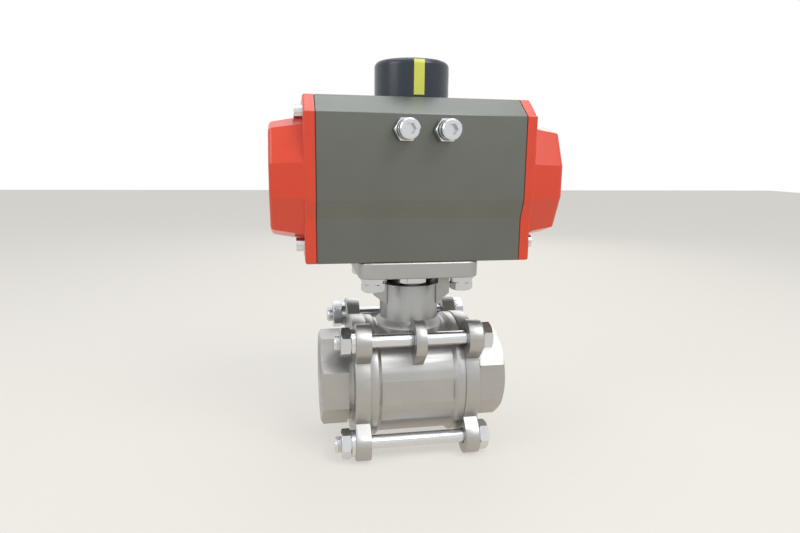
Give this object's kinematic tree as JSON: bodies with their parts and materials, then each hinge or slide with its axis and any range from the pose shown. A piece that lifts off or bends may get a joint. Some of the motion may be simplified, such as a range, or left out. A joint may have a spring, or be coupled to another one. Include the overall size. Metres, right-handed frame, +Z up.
{
  "type": "pneumatic actuated valve",
  "caption": "Threaded three-piece ball valve turned a quarter by a double-acting rack-and-pinion air actuator, with a dome position indicator on top.",
  "frame": {"origin": "centre of the ball, where the pipe line and the stem axis cross", "axes": "+X along the pipe to the end with the bolt heads, +Y to the air-port side, +Z up the stem"},
  "size_m": [0.183, 0.113, 0.2582],
  "materials": {
    "anodised_aluminium": "extruded aluminium, hard anodised dark grey",
    "cap_paint": "orange-red powder coat on die-cast aluminium",
    "cast_stainless": "shot-blasted investment-cast stainless steel",
    "bright_steel": "polished stainless steel fasteners",
    "polished_ball": "polished stainless steel",
    "pinion_steel": "turned and nickel-plated steel",
    "cast_aluminium": "die-cast aluminium",
    "ptfe": "white PTFE",
    "acetal": "natural acetal bearing plastic",
    "nitrile_rubber": "black nitrile rubber",
    "indicator_plastic": "dark blue-black moulded plastic",
    "stripe_plastic": "yellow moulded plastic"
  },
  "bodies": {
    "housing": {"actuator_body": "anodised_aluminium", "left_end_cap": "cap_paint", "right_end_cap": "cap_paint", "left_cap_gasket": "nitrile_rubber", "right_cap_gasket": "nitrile_rubber", "end_cap_screws": "bright_steel", "stop_screws": "bright_steel", "stop_screw_nuts": "bright_steel", "stop_screw_seals": "nitrile_rubber", "pinion_bottom_bearing": "acetal", "pinion_top_bearing": "acetal", "valve_body": "cast_stainless", "left_pipe_end": "cast_stainless", "right_pipe_end": "cast_stainless", "left_seat": "ptfe", "right_seat": "ptfe", "left_body_seal": "ptfe", "right_body_seal": "ptfe", "tie_bolts": "bright_steel", "tie_nuts": "bright_steel", "tie_washers": "bright_steel", "pad_bolts": "bright_steel", "pad_spring_washers": "bright_steel", "pad_flat_washers": "bright_steel", "stem_thrust_washer": "ptfe", "stem_packing": "ptfe", "gland_ring": "bright_steel"},
    "pinion_shaft": {"pinion": "pinion_steel", "stop_cam": "pinion_steel", "pinion_bottom_seal": "nitrile_rubber", "pinion_top_seal": "nitrile_rubber", "pinion_thrust_washer": "acetal", "pinion_steel_washer": "bright_steel", "pinion_circlip": "bright_steel", "drive_sleeve": "pinion_steel", "indicator_cap": "indicator_plastic", "indicator_stripe": "stripe_plastic", "indicator_screw": "bright_steel"},
    "stem_and_ball": {"ball": "polished_ball", "stem": "bright_steel", "stem_seal": "nitrile_rubber", "disc_springs": "bright_steel", "gland_nut": "bright_steel", "lock_tab": "bright_steel"},
    "left_piston_group": {"left_piston": "cast_aluminium", "left_guide_band": "acetal", "left_piston_seal": "nitrile_rubber", "left_rack_pad": "acetal"},
    "right_piston_group": {"right_piston": "cast_aluminium", "right_guide_band": "acetal", "right_piston_seal": "nitrile_rubber", "right_rack_pad": "acetal"}
  },
  "joints": [
    {"name": "pinion_turn", "type": "hinge", "parent": "housing", "child": "pinion_shaft", "pos_m": [0, 0, 0.13585], "axis": [0, 0, 1], "range_deg": [0, 90]},
    {"name": "stem_turn", "type": "hinge", "parent": "housing", "child": "stem_and_ball", "pos_m": [0, 0, 0], "axis": [0, 0, 1], "range_deg": [0, 90]},
    {"name": "left_piston_slide", "type": "slide", "parent": "housing", "child": "left_piston_group", "axis": [-1, 0, 0], "range_m": [0, 0.022]},
    {"name": "right_piston_slide", "type": "slide", "parent": "housing", "child": "right_piston_group", "axis": [1, 0, 0], "range_m": [0, 0.022]}
  ],
  "couplings": [
    {"joint": "stem_turn", "follows": "pinion_turn", "ratio": 1},
    {"joint": "left_piston_slide", "follows": "pinion_turn", "m_per_rad": 0.014},
    {"joint": "right_piston_slide", "follows": "pinion_turn", "m_per_rad": 0.014}
  ]
}
